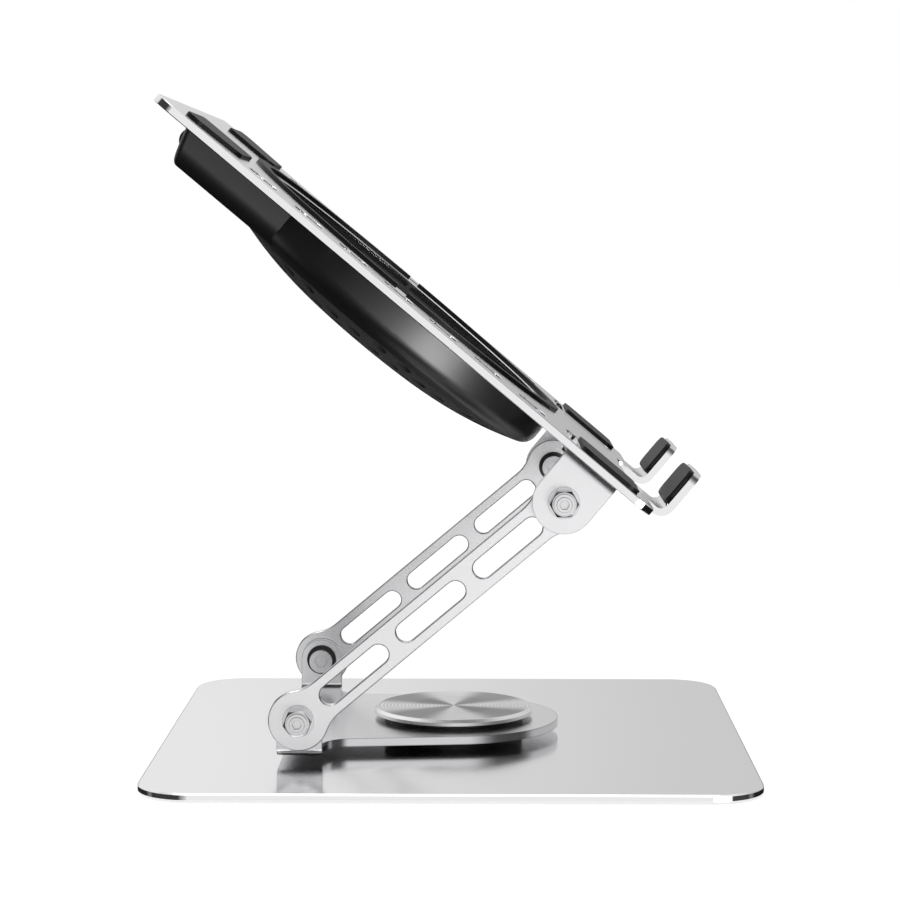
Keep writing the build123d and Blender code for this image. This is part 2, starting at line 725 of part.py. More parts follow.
# grille: a flange under the tray, three rings and eight spokes
with BuildPart() as fan_grille:
    with BuildSketch(tray_level(-tray_thick - 1.4, fan_s)):
        Circle(72.8)
        Circle(65.5, mode=Mode.SUBTRACT)
    extrude(amount=1.4)
    with BuildSketch(tray_level(-3.0, fan_s)):
        # hoops drawn from the rim inwards, each inside the hole of the last
        for radius in (67.6, 56.0, 46.0, 36.0):
            Circle(radius + 0.9)
            Circle(radius - 0.9, mode=Mode.SUBTRACT)
        Circle(27.0)
        with PolarLocations(47.0, 8):
            Rectangle(41.0, 2.0)
    extrude(amount=1.6)
save(fan_grille, "fan_grille")

# light ring on the ledge inside the drum
with BuildPart() as led_ring:
    with BuildSketch(tray_level(-17.5, fan_s)):
        Circle(72.5)
        Circle(66.2, mode=Mode.SUBTRACT)
    extrude(amount=1.2)
save(led_ring, "led_ring")

# motor: foot on the flat of the floor, stator and a fixed shaft
motor_floor = -drum_deep + drum_wall
stator_from = motor_floor + 2.1
stator_high = 9.7
with BuildPart() as fan_motor:
    with BuildSketch(tray_level(motor_floor, fan_s)):
        Circle(drum_flat - 1.0)
    extrude(amount=stator_from - motor_floor)
    with BuildSketch(tray_level(stator_from, fan_s)):
        Circle(stator_radius)
    extrude(amount=stator_high)
    with BuildSketch(tray_level(stator_from + stator_high, fan_s)):
        Circle(shaft_radius)
    extrude(amount=7.0)
save(fan_motor, "fan_motor")

# rotor: cup over the stator with pitched blades
with BuildPart() as fan_rotor:
    with BuildSketch(tray_level(-22.0, fan_s)):
        Circle(rotor_hub)
    extrude(amount=16.0)
    with BuildSketch(tray_level(-22.0, fan_s)):
        Circle(stator_radius + 2.5)
    extrude(amount=8.5, mode=Mode.SUBTRACT)
    with BuildSketch(tray_level(-14.0, fan_s)):
        Circle(shaft_radius + 0.05)
    extrude(amount=6.3, mode=Mode.SUBTRACT)
    hub_level = tray_level(-13.5, fan_s)
    for i in range(blade_count):
        turn = 360.0 / blade_count * i
        outward = hub_level.x_dir * cos(radians(turn)) + hub_level.y_dir * sin(radians(turn))
        across = hub_level.z_dir.cross(outward)
        root = hub_level.origin + outward * (rotor_hub - 1.0)
        blade_plane = Plane(origin=root, x_dir=across, z_dir=outward)
        with BuildSketch(blade_plane):
            with BuildLine():
                ThreePointArc((-9.0, -4.6), (0.6, -1.4), (9.0, 5.0))
                Line((9.0, 5.0), (8.4, 6.2))
                ThreePointArc((8.4, 6.2), (-0.2, 0.1), (-9.4, -3.1))
                Line((-9.4, -3.1), (-9.0, -4.6))
            make_face()
        extrude(amount=rotor_radius - rotor_hub)
save(fan_rotor, "fan_rotor")

# electronics in the box behind the drum
board_h = -15.9
with BuildPart() as control_board:
    with BuildSketch(tray_level(board_h - 1.6, 0)):
        with Locations((0, -23.5)):
            Rectangle(108.0, 19.0)
    extrude(amount=1.6)
save(control_board, "control_board")

socket_s = 12.4
with BuildPart() as usb_socket:
    with BuildSketch(tray_level(board_h, 0)):
        with Locations((0, -(socket_s + 3.7))):
            Rectangle(9.0, 7.4)
    extrude(amount=3.2)
    mouth_level = tray_level(board_h + 1.6, 0)
    mouth = Plane(origin=mouth_level.from_local_coords((0, -socket_s, 0)),
                  x_dir=(1, 0, 0), z_dir=(0, -tray_back[0], -tray_back[1]))
    with BuildSketch(mouth):
        SlotOverall(8.2, 2.5)
    extrude(amount=6.0, mode=Mode.SUBTRACT)
save(usb_socket, "usb_socket")

# speed control: body on the board, with a side pin that the dial turns on
dial_at = tray_side(0).from_local_coords((dial_s, dial_h, 0))
dial_point = (dial_at.Y, dial_at.Z)
with BuildPart() as speed_control:
    with BuildSketch(tray_level(board_h, 0)):
        with Locations((-36.0, -17.6)):
            Rectangle(8.0, 7.8)
    extrude(amount=10.4)
    with BuildSketch(tray_level(-11.6, 0)):
        with Locations((-36.0, -14.4)):
            Rectangle(8.0, 4.0)
    extrude(amount=6.1)
    with BuildSketch(side(-40.0, dial_point)):
        Circle(1.0)
    extrude(amount=6.0)
save(speed_control, "speed_control")

with BuildPart() as speed_dial:
    with BuildSketch(side(dial_x + dial_thick / 2, dial_point)):
        Circle(dial_radius)
        Circle(1.05, mode=Mode.SUBTRACT)
    extrude(amount=dial_thick)
    rims = []
    for edge in speed_dial.edges().filter_by(GeomType.CIRCLE):
        if edge.radius > dial_radius - 0.01:
            rims.append(edge)
    fillet(rims, 0.8)
save(speed_dial, "speed_dial")
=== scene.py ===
import bpy
import json
import math
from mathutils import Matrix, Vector


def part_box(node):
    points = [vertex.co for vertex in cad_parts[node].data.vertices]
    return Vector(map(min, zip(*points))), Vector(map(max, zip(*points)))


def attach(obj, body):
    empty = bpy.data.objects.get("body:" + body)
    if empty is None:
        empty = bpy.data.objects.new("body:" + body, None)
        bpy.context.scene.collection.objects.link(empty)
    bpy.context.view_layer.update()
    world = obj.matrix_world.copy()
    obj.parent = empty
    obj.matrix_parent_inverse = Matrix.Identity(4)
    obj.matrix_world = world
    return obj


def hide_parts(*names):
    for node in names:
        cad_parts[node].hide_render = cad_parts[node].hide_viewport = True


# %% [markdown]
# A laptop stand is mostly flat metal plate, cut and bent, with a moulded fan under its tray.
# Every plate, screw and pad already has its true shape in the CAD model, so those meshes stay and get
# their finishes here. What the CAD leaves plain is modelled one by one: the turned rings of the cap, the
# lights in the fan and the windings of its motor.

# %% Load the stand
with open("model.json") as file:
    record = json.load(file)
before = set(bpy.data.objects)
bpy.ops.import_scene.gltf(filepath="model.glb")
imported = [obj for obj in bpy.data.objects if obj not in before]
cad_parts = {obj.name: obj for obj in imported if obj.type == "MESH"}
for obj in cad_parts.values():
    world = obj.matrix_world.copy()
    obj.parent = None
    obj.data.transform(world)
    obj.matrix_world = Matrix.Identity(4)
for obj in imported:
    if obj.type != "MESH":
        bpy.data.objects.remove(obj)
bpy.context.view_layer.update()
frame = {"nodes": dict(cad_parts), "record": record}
nodes = frame["nodes"]

# %% [markdown]
# The stand is seen from its left side, along the hinge pins, from a little above the base.
# A long lens keeps the two arms almost the same size. The camera could be aimed with angles
# alone, but a look direction turned into a rotation is easier to adjust.

# %% Camera
eye = Vector((-1.0306, -0.0132, 0.2150))
yaw, pitch = math.radians(0.819), math.radians(5.129)
look = Vector((math.cos(yaw) * math.cos(pitch), math.sin(yaw) * math.cos(pitch), -math.sin(pitch)))
lens = bpy.data.cameras.new("side_view")
lens.lens = 98.76
lens.sensor_width = 36
camera = bpy.data.objects.new("side_view", lens)
camera.location = eye
camera.rotation_euler = look.to_track_quat("-Z", "Y").to_euler()
bpy.context.scene.collection.objects.link(camera)
bpy.context.scene.camera = camera
print("camera at", [round(v, 3) for v in eye])

# %% [markdown]
# Node trees are wired many times below, so two small helpers come first: one for a Math node
# and one for a smooth step from one value to another. Each returns its output socket, so
# calls can be nested like ordinary arithmetic.


# %% Wiring helpers
def plug(tree, value, socket):
    """Links a socket, or sets a plain value."""
    if isinstance(value, (int, float)):
        socket.default_value = value
    else:
        tree.links.new(value, socket)


def maths(tree, operation, a, b=None, clamp=False):
    node = tree.nodes.new("ShaderNodeMath")
    node.operation = operation
    node.use_clamp = clamp
    plug(tree, a, node.inputs[0])
    if b is not None:
        plug(tree, b, node.inputs[1])
    return node.outputs[0]


def step(tree, value, low, high, at_low, at_high):
    """Goes smoothly from at_low to at_high while value goes from low to high."""
    node = tree.nodes.new("ShaderNodeMapRange")
    node.interpolation_type = "SMOOTHSTEP"
    plug(tree, value, node.inputs["Value"])
    node.inputs["From Min"].default_value = low
    node.inputs["From Max"].default_value = high
    plug(tree, at_low, node.inputs["To Min"])
    plug(tree, at_high, node.inputs["To Max"])
    return node.outputs["Result"]


print("helpers ready")

# %% [markdown]
# Satin metal shows whatever stands around it, so the room matters more than the lamps. It is
# a photographer's tent: white overhead and behind the camera, softer grey far behind the
# stand. Dark flags stand left and right of the camera, and draw a crisp dark line along every
# cut edge that turns away from it. The far side has no flags, so the flat base stays light. A
# glow low on the right puts the broad sheen on the fan's black drum. All of it is worked out
# from the direction alone, so there is no picture to load. The camera itself sees white.

# %% Studio tent
world = bpy.data.worlds.new("white_tent")
world.use_nodes = True
bpy.context.scene.world = world
bpy.context.scene.view_settings.view_transform = "Standard"
tent = world.node_tree
tent.nodes.clear()
direction = tent.nodes.new("ShaderNodeTexCoord").outputs["Generated"]
split = tent.nodes.new("ShaderNodeSeparateXYZ")
tent.links.new(direction, split.inputs[0])
across, along, up = split.outputs[0], split.outputs[1], split.outputs[2]
front_flag = step(tent, along, -0.75, -0.28, 0.06, 1.0)
rear_flag = step(tent, along, 0.14, 0.42, 1.0, 0.05)
both_flags = maths(tent, "MULTIPLY", front_flag, rear_flag)
flags = step(tent, across, -0.1, 0.2, both_flags, 1.03)
far_wall = step(tent, up, 0.0, 0.2, 0.52, 0.80)
far_table = step(tent, up, -0.16, -0.03, 0.02, far_wall)
rear_brighter = step(tent, along, -0.12, 0.14, 0.80, 1.10)
far_side = maths(tent, "MULTIPLY", far_table, rear_brighter)
walls = step(tent, across, -0.3, 0.3, 0.97, far_side)
ceiling = step(tent, up, 0.62, 0.92, maths(tent, "MULTIPLY", walls, flags), 1.0)
ground = step(tent, up, -0.42, -0.23, 0.01, ceiling)
glow_from = Vector((-0.80, -0.42, -0.43)).normalized()
glow_edge, glow_strength = 0.93, 16.0
aim = tent.nodes.new("ShaderNodeVectorMath")
aim.operation = "DOT_PRODUCT"
aim.inputs[1].default_value = glow_from
tent.links.new(direction, aim.inputs[0])
sheen = step(tent, aim.outputs["Value"], glow_edge, 1.0, 0.0, glow_strength)
seen = tent.nodes.new("ShaderNodeLightPath").outputs["Is Camera Ray"]
total = maths(tent, "ADD", ground, sheen)
glow = tent.nodes.new("ShaderNodeBackground")
out = tent.nodes.new("ShaderNodeOutputWorld")
tent.links.new(step(tent, seen, 0.0, 1.0, total, 1.0), glow.inputs["Color"])
tent.links.new(glow.outputs["Background"], out.inputs["Surface"])
print("tent nodes", len(tent.nodes))

# %% [markdown]
# One square softbox hangs over the stand, because a room of even light alone would leave the
# parts without a shadow side. It is large and weak, so its shadow stays soft.


# %% Lamp
def softbox(name, where, target, size, power):
    """A square lamp at a place, turned to face a target, sizes in metres."""
    lamp = bpy.data.lights.new(name, "AREA")
    lamp.shape = "RECTANGLE"
    lamp.size, lamp.size_y = size
    lamp.energy = power
    holder = bpy.data.objects.new(name, lamp)
    holder.location = where
    holder.rotation_euler = (Vector(target) - Vector(where)).to_track_quat("-Z", "Y").to_euler()
    bpy.context.scene.collection.objects.link(holder)


softbox("top_box", (-0.3, 0.1, 1.3), (0, 0, 0.1), (1.0, 1.0), 4)
print("one softbox")

# %% [markdown]
# The floor is a plain sheet of white paper that glows a little, so it meets the white
# background without a visible horizon. Only the camera sees it: reflections see the tent
# instead, as they would on a table much smaller than the paper.

# %% Floor
half = 8.0
mesh = bpy.data.meshes.new("studio_floor")
corners = [(-half, -half, 0), (half, -half, 0), (half, half, 0), (-half, half, 0)]
mesh.from_pydata(corners, [], [(0, 1, 2, 3)])
floor = bpy.data.objects.new("studio_floor", mesh)
bpy.context.scene.collection.objects.link(floor)
paper = bpy.data.materials.new("white_paper")
paper.use_nodes = True
sheet = paper.node_tree.nodes["Principled BSDF"]
sheet.inputs["Base Color"].default_value = (0.42, 0.42, 0.42, 1)
sheet.inputs["Roughness"].default_value = 1.0
sheet.inputs["Specular IOR Level"].default_value = 0.0
sheet.inputs["Emission Color"].default_value = (1, 1, 1, 1)
sheet.inputs["Emission Strength"].default_value = 0.74
mesh.materials.append(paper)
floor.visible_glossy = False
floor.visible_diffuse = False
floor.visible_shadow = False
print("floor laid")

# %% [markdown]
# Several finishes share the same effects, so each effect is a node group, made once and placed in each
# material with its own values. The painted edge light finds edges by comparing the true surface with one
# whose corners are rounded a little. Where the two differ, a material takes its edge colour: a painted
# highlight on the tray and base, a painted dark reflection line on the arms, brackets and nuts.


# %% Painted edge light
def effect(name, inputs, outputs):
    """A shader node group with numbers in and numbers out."""
    group = bpy.data.node_groups.new(name, "ShaderNodeTree")
    for title, value in inputs:
        socket = group.interface.new_socket(title, in_out="INPUT", socket_type="NodeSocketFloat")
        socket.default_value = value
    for title in outputs:
        group.interface.new_socket(title, in_out="OUTPUT", socket_type="NodeSocketFloat")
    return group, group.nodes.new("NodeGroupInput"), group.nodes.new("NodeGroupOutput")


painted_edge_light, give, take = effect("painted_edge_light", [("Width", 0.0004), ("Strength", 6.0)], ["Mask"])
rounded = painted_edge_light.nodes.new("ShaderNodeBevel")
rounded.samples = 4
true_side = painted_edge_light.nodes.new("ShaderNodeNewGeometry")
compare = painted_edge_light.nodes.new("ShaderNodeVectorMath")
compare.operation = "DOT_PRODUCT"
painted_edge_light.links.new(give.outputs["Width"], rounded.inputs["Radius"])
painted_edge_light.links.new(rounded.outputs[0], compare.inputs[0])
painted_edge_light.links.new(true_side.outputs["Normal"], compare.inputs[1])
lost = maths(painted_edge_light, "SUBTRACT", 1.0, compare.outputs["Value"])
mask = maths(painted_edge_light, "MULTIPLY", lost, give.outputs["Strength"], clamp=True)
painted_edge_light.links.new(mask, take.inputs["Mask"])
print("effect:", painted_edge_light.name)

# %% [markdown]
# Blasted metal and moulded plastic both have a fine grain, a fraction of a millimetre across.
# Noise on the object's own coordinates gives it, so it stays with the part when the part
# moves. The same noise feeds a bump and a small change of roughness. A bump of zero leaves
# only the roughness, for faces seen so nearly edge-on that any bump would sparkle.

# %% Grain
fine_grain, give, take = effect("fine_grain", [("Scale", 900.0), ("Detail", 2.0)], ["Height"])
place = fine_grain.nodes.new("ShaderNodeTexCoord")
speckle = fine_grain.nodes.new("ShaderNodeTexNoise")
fine_grain.links.new(place.outputs["Object"], speckle.inputs["Vector"])
fine_grain.links.new(give.outputs["Scale"], speckle.inputs["Scale"])
fine_grain.links.new(give.outputs["Detail"], speckle.inputs["Detail"])
fine_grain.links.new(speckle.outputs["Fac"], take.inputs["Height"])
print("effect:", fine_grain.name)

# %% [markdown]
# The plates are cut on a machine that leaves their walls bright, while their faces are
# blasted to a satin. This group tells the two apart by the side a point faces: its inputs
# are the direction that the plate's face looks in, and it gives 1 on the cut walls.

# %% Cut walls
cut_walls, give, take = effect("cut_walls", [("Face X", 1.0), ("Face Y", 0.0), ("Face Z", 0.0)], ["Mask"])
facing = cut_walls.nodes.new("ShaderNodeTexCoord").outputs["Normal"]
face_way = cut_walls.nodes.new("ShaderNodeCombineXYZ")
for i in range(3):
    cut_walls.links.new(give.outputs[i], face_way.inputs[i])
turn_away = cut_walls.nodes.new("ShaderNodeVectorMath")
turn_away.operation = "DOT_PRODUCT"
cut_walls.links.new(facing, turn_away.inputs[0])
cut_walls.links.new(face_way.outputs[0], turn_away.inputs[1])
flatness = maths(cut_walls, "ABSOLUTE", turn_away.outputs["Value"])
cut_walls.links.new(step(cut_walls, flatness, 0.5, 0.85, 1.0, 0.0), take.inputs["Mask"])
print("effect:", cut_walls.name)

# %% [markdown]
# A finish is one material: a Principled shader whose plain values are set directly, with only
# what varies over the surface wired in. One function makes them all, because they differ
# only in colour, roughness and which effects they use.


# %% A finish
GRAIN_DEPTH = 0.0001


def finish(name, colour, rough, metal=0.0, specular=0.5, edge=None, edge_width=0.0004,
           grain=None, vary=0.0, cut=None):
    """edge is the painted highlight or painted dark line colour on edges, grain is (scale, bump), cut is
    (face direction, roughness).
    """
    material = bpy.data.materials.new(name)
    material.use_nodes = True
    tree = material.node_tree
    shader = tree.nodes["Principled BSDF"]
    shader.inputs["Base Color"].default_value = (*colour, 1)
    shader.inputs["Roughness"].default_value = rough
    shader.inputs["Metallic"].default_value = metal
    shader.inputs["Specular IOR Level"].default_value = specular
    level = rough
    # The edge colour is painted light: a highlight or a dark reflection line along every edge.
    if edge:
        painted_edge = tree.nodes.new("ShaderNodeGroup")
        painted_edge.node_tree = painted_edge_light
        painted_edge.inputs["Width"].default_value = edge_width
        blend = tree.nodes.new("ShaderNodeMix")
        blend.data_type = "RGBA"
        blend.inputs["A"].default_value = (*colour, 1)
        blend.inputs["B"].default_value = (*edge, 1)
        tree.links.new(painted_edge.outputs["Mask"], blend.inputs["Factor"])
        tree.links.new(blend.outputs["Result"], shader.inputs["Base Color"])
    if grain:
        scale, strength = grain
        speck = tree.nodes.new("ShaderNodeGroup")
        speck.node_tree = fine_grain
        speck.inputs["Scale"].default_value = scale
        bump = tree.nodes.new("ShaderNodeBump")
        bump.inputs["Strength"].default_value = strength
        bump.inputs["Distance"].default_value = GRAIN_DEPTH
        tree.links.new(speck.outputs["Height"], bump.inputs["Height"])
        tree.links.new(bump.outputs["Normal"], shader.inputs["Normal"])
        uneven = maths(tree, "MULTIPLY", speck.outputs["Height"], vary)
        level = maths(tree, "ADD", uneven, rough - vary / 2)
    if cut:
        face, polished = cut
        walls_of = tree.nodes.new("ShaderNodeGroup")
        walls_of.node_tree = cut_walls
        for i in range(3):
            walls_of.inputs[i].default_value = face[i]
        level = step(tree, walls_of.outputs["Mask"], 0.0, 1.0, level, polished)
    if grain or cut:
        tree.links.new(level, shader.inputs["Roughness"])
    return material


def dress(material, *names):
    """Puts a material on CAD nodes."""
    for node in names:
        mesh = nodes[node].data
        if not mesh.materials:
            mesh.materials.append(material)
        for i in range(len(mesh.materials)):
            mesh.materials[i] = material


print("finish and dress ready")

# %% [markdown]
# The tray, arms and brackets are aluminium, blasted and clear anodised. Blasting scatters the
# reflection, so the roughness is about a quarter, with a grain too fine to count. The cut
# walls are shinier than the faces. The tray's face direction is the fan's axis, read from the
# frame, and the arms face sideways.

# %% Aluminium plates
joints = {joint["name"]: joint for joint in frame["record"]["behaviour"]["joints"]}
fan_axis = Vector(joints["fan_spin"]["axis"]).normalized()
fan_middle = Vector(joints["fan_spin"]["pos_m"])
blasted = (2600, 0.04)
# The dark edge colour below is a painted dark reflection line on the arms' and brackets' edges; the
# tray's near-white edge colour is a painted highlight.
painted_dark_edge = (0.16, 0.16, 0.16)
tray_metal = finish("tray_aluminium", (0.84, 0.84, 0.85), 0.24, 1.0, edge=(0.97, 0.97, 0.97),
                    grain=blasted, vary=0.05, cut=(fan_axis, 0.07))
arm_metal = finish("arm_aluminium", (0.74, 0.74, 0.75), 0.22, 1.0, edge=painted_dark_edge, edge_width=0.0006,
                   grain=blasted, vary=0.05, cut=((1, 0, 0), 0.10))
bent_metal = finish("bracket_aluminium", (0.72, 0.72, 0.73), 0.22, 1.0, edge=painted_dark_edge, edge_width=0.0006,
                    grain=blasted, vary=0.05)
dress(tray_metal, "tray_plate")
dress(arm_metal, "arm_left", "arm_right")
dress(bent_metal, "tray_bracket", "swivel_bracket")
print("tray faces", [round(v, 3) for v in fan_axis])

# %% [markdown]
# The base is heavier steel plate with a finer, shinier satin, which mirrors the arms softly.
# Its edge colour is almost white, a painted highlight along its bevel.

# %% Base plate
base_metal = finish("base_steel", (0.84, 0.84, 0.85), 0.14, 1.0, edge=(0.98, 0.98, 0.98),
                    grain=blasted, vary=0.04, cut=((0, 0, 1), 0.06))
dress(base_metal, "base_plate", "swivel_hub")
print("base finished")

# %% [markdown]
# Screws, nuts and washers are zinc plated: more uneven than the plates, with a painted dark reflection
# line along their edges that draws their hexagons.

# %% Fasteners
plated = finish("zinc_plate", (0.66, 0.66, 0.67), 0.20, 1.0, edge=(0.26, 0.26, 0.26),
                grain=(1500, 0.05), vary=0.08)
dress(plated, "hub_screws", "lower_pivot_screws", "upper_pivot_screws", "lower_pivot_nuts",
      "upper_pivot_nuts", "lower_nut_washers", "upper_nut_washers", "bracket_screws",
      "housing_screws", "usb_socket", "fan_motor")
print("fasteners finished")

# %% [markdown]
# The fan's shell is moulded in black plastic with a fine satin texture. Real black plastic is
# not quite black, and most of what it shows is reflection, so its specular level is high.
# The grille is rougher: seen almost edge-on it must stay dark instead of mirroring the tent.
# The drum's floor, where the vents are, is left as dull as the grille, so its holes don't glint.

# %% Plastics and rubber
# The shell's edges are painted a little lighter than its face, a faint painted highlight.
shell = finish("black_shell", (0.004, 0.004, 0.0043), 0.40, specular=0.70, edge=(0.015, 0.015, 0.016),
               grain=(3000, 0.06), vary=0.05)
grille = finish("grille_black", (0.010, 0.010, 0.011), 0.85, specular=0.10, grain=(2200, 0.0), vary=0.05)
rubber = finish("pad_rubber", (0.004, 0.004, 0.004), 0.45, specular=0.12, grain=(1800, 0.0), vary=0.02)
nylon = finish("black_nylon", (0.010, 0.010, 0.010), 0.45, grain=(1500, 0.05), vary=0.04)
tree = shell.node_tree
level = tree.nodes["Principled BSDF"].inputs["Roughness"].links[0].from_socket
offset = tree.nodes.new("ShaderNodeVectorMath")
offset.operation = "SUBTRACT"
offset.inputs[1].default_value = fan_middle
tree.links.new(tree.nodes.new("ShaderNodeTexCoord").outputs["Object"], offset.inputs[0])
sideways = tree.nodes.new("ShaderNodeVectorMath")
sideways.operation = "CROSS_PRODUCT"
sideways.inputs[1].default_value = fan_axis
tree.links.new(offset.outputs[0], sideways.inputs[0])
distance = tree.nodes.new("ShaderNodeVectorMath")
distance.operation = "LENGTH"
tree.links.new(sideways.outputs[0], distance.inputs[0])
floor_edge = 0.0692
dull = 0.95
level = step(tree, distance.outputs["Value"], floor_edge, floor_edge + 0.0015, dull, level)
tree.links.new(level, tree.nodes["Principled BSDF"].inputs["Roughness"])
dress(shell, "fan_housing", "speed_dial", "speed_control")
dress(grille, "fan_grille", "fan_rotor")
dress(rubber, "base_feet", "rear_pad_left", "rear_pad_right", "front_pad_left", "front_pad_right",
      "hook_pad_left", "hook_pad_right", "ring_pad_rear", "ring_pad_front")
dress(nylon, "thrust_washer_lower", "thrust_washer_upper", "lower_head_rings", "lower_slip_washers",
      "upper_head_rings", "upper_slip_washers")
board = finish("green_board", (0.01, 0.06, 0.03), 0.4, grain=(900, 0.05), vary=0.05)
dress(board, "control_board", "led_ring")
print("plastics and rubber finished")

# %% [markdown]
# The cap in the middle of the base is turned on a lathe, which leaves rings. They are real
# grooves here, not a bump: the profile is drawn from the middle outwards with a small wave
# for each ring, then spun about the axis. The CAD's plain disc stays behind for collision.


# %% Lathe
def lathe(name, profile, segments):
    """Spins (radius, height) points about Z, first and last on the axis, into a closed mesh."""
    verts = [(0, 0, profile[0][1])]
    faces = []
    inner = profile[1:-1]
    for radius, height in inner:
        for k in range(segments):
            turn = 2 * math.pi * k / segments
            verts.append((radius * math.cos(turn), radius * math.sin(turn), height))
    verts.append((0, 0, profile[-1][1]))
    last = len(verts) - 1
    for k in range(segments):
        following = (k + 1) % segments
        faces.append((0, 1 + k, 1 + following))
        for row in range(len(inner) - 1):
            a, b = 1 + row * segments, 1 + (row + 1) * segments
            faces.append((a + k, b + k, b + following, a + following))
        end = 1 + (len(inner) - 1) * segments
        faces.append((end + k, last, end + following))
    mesh = bpy.data.meshes.new(name)
    mesh.from_pydata(verts, [], faces)
    for face in mesh.polygons:
        face.use_smooth = True
    mesh.set_sharp_from_angle(angle=math.radians(28))
    piece = bpy.data.objects.new(name, mesh)
    bpy.context.scene.collection.objects.link(piece)
    return piece


cap_low, cap_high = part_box("swivel_cap")
cap_radius, cap_top, cap_under = cap_high[0], cap_high[2], cap_low[2]
rim_bevel, ring_pitch, ring_deep = 0.0012, 0.0015, 0.0002
ring_end = cap_radius - rim_bevel - 0.0004
ring_points = int(ring_end / ring_pitch * 4)
profile = [(0.0, cap_top)]
for i in range(1, ring_points):
    radius = ring_end * i / ring_points
    wave = 0.5 - 0.5 * math.cos(2 * math.pi * radius / ring_pitch)
    profile.append((radius, cap_top - ring_deep * wave))
profile += [(ring_end, cap_top), (cap_radius - rim_bevel, cap_top), (cap_radius, cap_top - rim_bevel),
            (cap_radius, cap_under), (0.0, cap_under)]
cap = lathe("turned_cap", profile, 160)
print("cap rings", round(ring_end / ring_pitch), "faces", len(cap.data.polygons))

# %% [markdown]
# A turned face shines in two bright fans that meet in the middle, because each groove only spreads light
# across itself. Anisotropy with a tangent that runs round the axis does that. Finer tool marks between
# the grooves are a bump of rings on the distance from the axis. The anisotropy is helped by a painted
# highlight: the base colour swings from light to dark four times round the cap, and the bevelled rim
# outside it is painted bright.

# %% Turned steel
turned = finish("turned_steel", (0.80, 0.80, 0.81), 0.30, 1.0)
tree = turned.node_tree
shader = tree.nodes["Principled BSDF"]
shader.inputs["Anisotropic"].default_value = 0.9
around = tree.nodes.new("ShaderNodeTangent")
around.direction_type = "RADIAL"
around.axis = "Z"
tree.links.new(around.outputs[0], shader.inputs["Tangent"])
flat = tree.nodes.new("ShaderNodeVectorMath")
flat.operation = "MULTIPLY"
flat.inputs[1].default_value = (1, 1, 0)
reach = tree.nodes.new("ShaderNodeVectorMath")
reach.operation = "LENGTH"
tree.links.new(tree.nodes.new("ShaderNodeTexCoord").outputs["Object"], flat.inputs[0])
tree.links.new(flat.outputs[0], reach.inputs[0])
mark_pitch = 0.00035
marks = maths(tree, "SINE", maths(tree, "MULTIPLY", reach.outputs["Value"], 2 * math.pi / mark_pitch))
bump = tree.nodes.new("ShaderNodeBump")
bump.inputs["Strength"].default_value = 0.15
bump.inputs["Distance"].default_value = 0.00005
tree.links.new(marks, bump.inputs["Height"])
tree.links.new(bump.outputs["Normal"], shader.inputs["Normal"])
heading = tree.nodes.new("ShaderNodeSeparateXYZ")
tree.links.new(flat.outputs[0], heading.inputs[0])
bearing = maths(tree, "ARCTAN2", heading.outputs["Y"], heading.outputs["X"])
# Painted highlight fans: the base colour goes light and dark four times round the cap, and is near white
# on the rim.
sector_count, sector_turn = 4.0, 1.2
phase = maths(tree, "ADD", maths(tree, "MULTIPLY", bearing, sector_count), sector_turn)
painted_fan_highlight = step(tree, maths(tree, "SINE", phase), -0.8, 0.9, 0.42, 0.96)
painted_fan_highlight = step(tree, reach.outputs["Value"], ring_end, ring_end + 0.0002, painted_fan_highlight, 0.98)
painted_fan_colour = tree.nodes.new("ShaderNodeCombineColor")
for i in range(3):
    tree.links.new(painted_fan_highlight, painted_fan_colour.inputs[i])
tree.links.new(painted_fan_colour.outputs["Color"], shader.inputs["Base Color"])
cap.data.materials.append(turned)
dress(turned, "swivel_cap")
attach(cap, "base")
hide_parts("swivel_cap")
print("cap finished")

# %% [markdown]
# The fan carries a ring of small lights, and its motor a ring of copper windings. Both are
# one rounded shape repeated round the fan's axis, so one Geometry Nodes tree makes either.
# Its inputs are the count, the ring's radius, the height on the axis and the shape's half
# sizes. The last input turns the flat ring into the tray's slope.


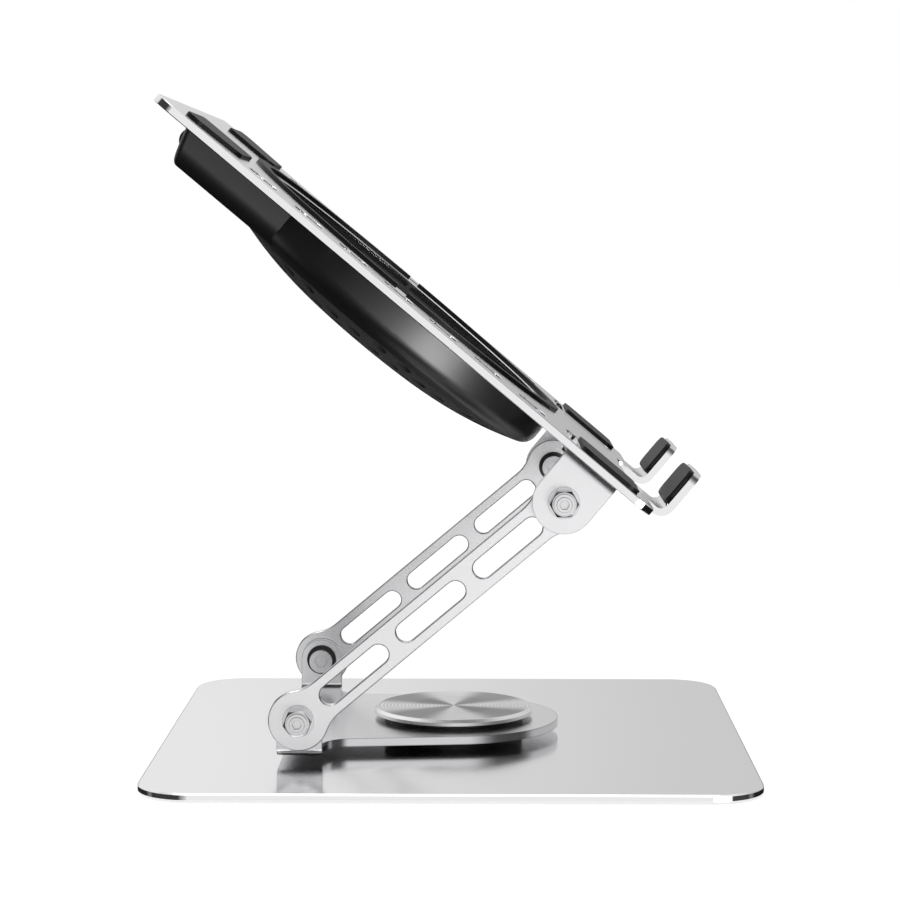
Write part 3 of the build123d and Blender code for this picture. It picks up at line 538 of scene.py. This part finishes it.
# %% Ring of pieces
def ring_tree(name, material):
    tree = bpy.data.node_groups.new(name, "GeometryNodeTree")
    tree.interface.new_socket("Geometry", in_out="INPUT", socket_type="NodeSocketGeometry")
    for title, kind in (("Count", "NodeSocketInt"), ("Ring radius", "NodeSocketFloat"),
                        ("Height", "NodeSocketFloat"), ("Half size", "NodeSocketVector"),
                        ("Centre", "NodeSocketVector"), ("Tilt", "NodeSocketFloat")):
        tree.interface.new_socket(title, in_out="INPUT", socket_type=kind)
    tree.interface.new_socket("Geometry", in_out="OUTPUT", socket_type="NodeSocketGeometry")
    give, take = tree.nodes.new("NodeGroupInput"), tree.nodes.new("NodeGroupOutput")
    circle = tree.nodes.new("GeometryNodeMeshCircle")
    ball = tree.nodes.new("GeometryNodeMeshUVSphere")
    ball.inputs["Segments"].default_value = 16
    ball.inputs["Rings"].default_value = 10
    ball.inputs["Radius"].default_value = 1.0
    copies = tree.nodes.new("GeometryNodeInstanceOnPoints")
    turn = tree.nodes.new("FunctionNodeAlignEulerToVector")
    turn.axis = "X"
    spot = tree.nodes.new("GeometryNodeInputPosition")
    lift = tree.nodes.new("ShaderNodeCombineXYZ")
    raised = tree.nodes.new("GeometryNodeTransform")
    tilt = tree.nodes.new("ShaderNodeCombineXYZ")
    placed = tree.nodes.new("GeometryNodeTransform")
    real = tree.nodes.new("GeometryNodeRealizeInstances")
    smooth = tree.nodes.new("GeometryNodeSetShadeSmooth")
    paint = tree.nodes.new("GeometryNodeSetMaterial")
    paint.inputs["Material"].default_value = material
    link = tree.links.new
    link(give.outputs["Count"], circle.inputs["Vertices"])
    link(give.outputs["Ring radius"], circle.inputs["Radius"])
    link(circle.outputs[0], copies.inputs["Points"])
    link(ball.outputs["Mesh"], copies.inputs["Instance"])
    link(spot.outputs[0], turn.inputs["Vector"])
    link(turn.outputs[0], copies.inputs["Rotation"])
    link(give.outputs["Half size"], copies.inputs["Scale"])
    link(give.outputs["Height"], lift.inputs["Z"])
    link(copies.outputs[0], raised.inputs["Geometry"])
    link(lift.outputs[0], raised.inputs["Translation"])
    link(give.outputs["Tilt"], tilt.inputs["X"])
    link(raised.outputs[0], placed.inputs["Geometry"])
    link(tilt.outputs[0], placed.inputs["Rotation"])
    link(give.outputs["Centre"], placed.inputs["Translation"])
    link(placed.outputs[0], real.inputs[0])
    link(real.outputs[0], smooth.inputs[0])
    link(smooth.outputs[0], paint.inputs["Geometry"])
    link(paint.outputs[0], take.inputs[0])
    return tree


def run_tree(name, tree, values):
    """Sets a tree's inputs on an empty mesh, and returns the result as a plain mesh object."""
    seed = bpy.data.objects.new(name + "_seed", bpy.data.meshes.new(name + "_seed"))
    bpy.context.scene.collection.objects.link(seed)
    modifier = seed.modifiers.new("ring", "NODES")
    modifier.node_group = tree
    for item in tree.interface.items_tree:
        if item.in_out == "INPUT" and item.name in values:
            modifier[item.identifier] = values[item.name]
    result = seed.evaluated_get(bpy.context.evaluated_depsgraph_get())
    piece = bpy.data.objects.new(name, bpy.data.meshes.new_from_object(result))
    bpy.data.objects.remove(seed)
    bpy.context.scene.collection.objects.link(piece)
    print(name, "faces", len(piece.data.polygons))
    return piece


tilt_angle = math.atan2(-fan_axis.y, fan_axis.z)
print("fan tilted", round(math.degrees(tilt_angle), 1), "degrees")

# %% [markdown]
# The lights glow faintly in changing colours round the ring: that is the small glint of blue
# and red behind the vents. The colour comes from the place on the ring, so no two are alike.

# %% Lights
lamp_glass = finish("lamp_glass", (0.02, 0.02, 0.02), 0.25)
tree = lamp_glass.node_tree
shader = tree.nodes["Principled BSDF"]
spot = tree.nodes.new("ShaderNodeSeparateXYZ")
tree.links.new(tree.nodes.new("ShaderNodeTexCoord").outputs["Object"], spot.inputs[0])
hue = tree.nodes.new("ShaderNodeCombineColor")
hue.mode = "HSV"
hue.inputs["Green"].default_value = 0.9
hue.inputs["Blue"].default_value = 1.0
swing = maths(tree, "SINE", maths(tree, "MULTIPLY", spot.outputs["Y"], 90.0))
tree.links.new(maths(tree, "ADD", 0.82, maths(tree, "MULTIPLY", swing, 0.18)), hue.inputs["Red"])
tree.links.new(hue.outputs["Color"], shader.inputs["Emission Color"])
shader.inputs["Emission Strength"].default_value = 0.08
lights = run_tree("fan_lights", ring_tree("ring_of_lights", lamp_glass), {
    "Count": 24, "Ring radius": 0.0693, "Height": -0.0043, "Half size": (0.0019, 0.0026, 0.0012),
    "Centre": tuple(fan_middle), "Tilt": tilt_angle})
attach(lights, "tray")

# %% [markdown]
# The windings are enamelled copper, wound upright between the stator's teeth, so the same
# shape is made narrow and tall and stands close round the shaft.

# %% Windings
copper = finish("enamelled_copper", (0.72, 0.26, 0.10), 0.28, 1.0, grain=(2400, 0.3), vary=0.1)
coils = run_tree("motor_windings", ring_tree("ring_of_windings", copper), {
    "Count": 9, "Ring radius": 0.0131, "Height": -0.0080, "Half size": (0.0020, 0.0036, 0.0040),
    "Centre": tuple(fan_middle), "Tilt": tilt_angle})
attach(coils, "tray")
